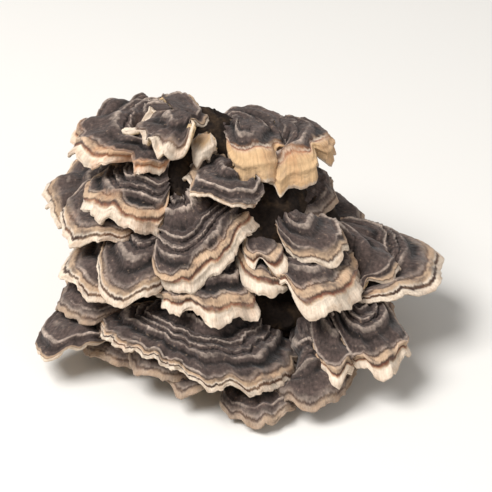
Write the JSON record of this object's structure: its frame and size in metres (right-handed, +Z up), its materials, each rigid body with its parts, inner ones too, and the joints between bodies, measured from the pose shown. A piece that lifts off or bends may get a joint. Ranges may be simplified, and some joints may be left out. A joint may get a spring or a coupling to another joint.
{
  "type": "turkey tail fungus",
  "caption": "Dried cluster of overlapping, thin, fan-shaped bracket fungi with dark zoned tops and pale curled margins, cut flat underneath so that it stands.",
  "frame": {"origin": "on the flat cut face under the cluster, 3 mm in front of the middle of the cut", "axes": "+Z up from the cut face, -Y towards the side where the largest brackets face, +X to the right of that side"},
  "size_m": [0.1025, 0.0852, 0.0615],
  "materials": {
    "dark_felt": "matte",
    "grey_felt": "matte",
    "tan_felt": "matte",
    "woody_flesh": "matte"
  },
  "bodies": {
    "root": {"bracket_back_1_1": "dark_felt", "bracket_back_1_2": "dark_felt", "bracket_back_1_3": "dark_felt", "bracket_back_2_1": "grey_felt", "bracket_back_2_2": "grey_felt", "bracket_back_2_3": "grey_felt", "bracket_back_2_4": "grey_felt", "bracket_back_3_1": "grey_felt", "bracket_back_3_2": "dark_felt", "bracket_back_3_3": "grey_felt", "bracket_back_3_4": "dark_felt", "bracket_back_3_5": "dark_felt", "bracket_back_4_1": "grey_felt", "bracket_back_4_2": "grey_felt", "bracket_back_4_3": "grey_felt", "bracket_back_4_4": "grey_felt", "bracket_back_4_5": "dark_felt", "bracket_back_4_6": "dark_felt", "bracket_back_5_1": "grey_felt", "bracket_back_5_2": "dark_felt", "bracket_back_5_3": "dark_felt", "bracket_back_5_4": "dark_felt", "bracket_back_5_5": "grey_felt", "bracket_centre": "dark_felt", "bracket_crown_back": "dark_felt", "bracket_crown_bud": "tan_felt", "bracket_crown_curl": "dark_felt", "bracket_crown_far_right": "dark_felt", "bracket_crown_left": "dark_felt", "bracket_crown_rear": "grey_felt", "bracket_crown_right": "dark_felt", "bracket_fold": "dark_felt", "bracket_fold_upper": "dark_felt", "bracket_front": "dark_felt", "bracket_front_bud": "grey_felt", "bracket_front_fan": "dark_felt", "bracket_front_left": "grey_felt", "bracket_front_low": "grey_felt", "bracket_leaf": "dark_felt", "bracket_left_bud": "grey_felt", "bracket_left_cup": "dark_felt", "bracket_left_ear": "dark_felt", "bracket_left_foot": "grey_felt", "bracket_left_leaf": "dark_felt", "bracket_left_lobe": "dark_felt", "bracket_left_low": "grey_felt", "bracket_left_side": "grey_felt", "bracket_middle": "dark_felt", "bracket_right_foot": "grey_felt", "bracket_right_low": "grey_felt", "bracket_right_round": "dark_felt", "bracket_right_shelf": "dark_felt", "bracket_right_side": "grey_felt", "bracket_right_split": "dark_felt", "bracket_right_split_inner": "dark_felt", "bracket_right_twist": "dark_felt", "bracket_shell": "dark_felt", "bracket_upper_left": "dark_felt", "bracket_upper_middle": "dark_felt", "cut_base": "woody_flesh"}
  },
  "joints": []
}
